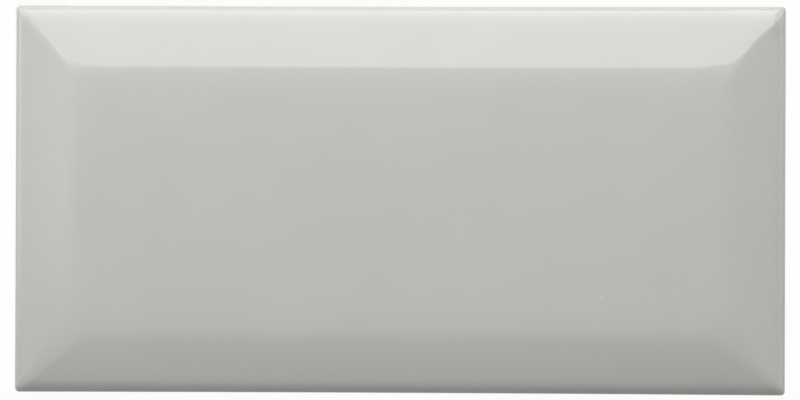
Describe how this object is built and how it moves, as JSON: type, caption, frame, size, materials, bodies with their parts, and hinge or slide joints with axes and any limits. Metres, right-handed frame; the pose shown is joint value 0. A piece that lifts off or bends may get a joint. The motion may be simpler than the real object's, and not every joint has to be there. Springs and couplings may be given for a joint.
{
  "type": "bevelled ceramic wall tile",
  "caption": "Glazed rectangular wall tile, twice as long as wide, with a wide mitred bevel round a raised flat face, softly rolled edges and a keyed back.",
  "frame": {"origin": "centre of the back, in the plane that the ribs of the back lie in", "axes": "+X along the tile's length, +Y across its width, +Z out of its glazed face"},
  "size_m": [0.149, 0.075, 0.008],
  "materials": {
    "white_glaze": "clear gloss glaze over a warm white, bare buff biscuit on the foot and the back"
  },
  "bodies": {
    "root": {"bevelled_tile": "white_glaze"}
  },
  "joints": []
}
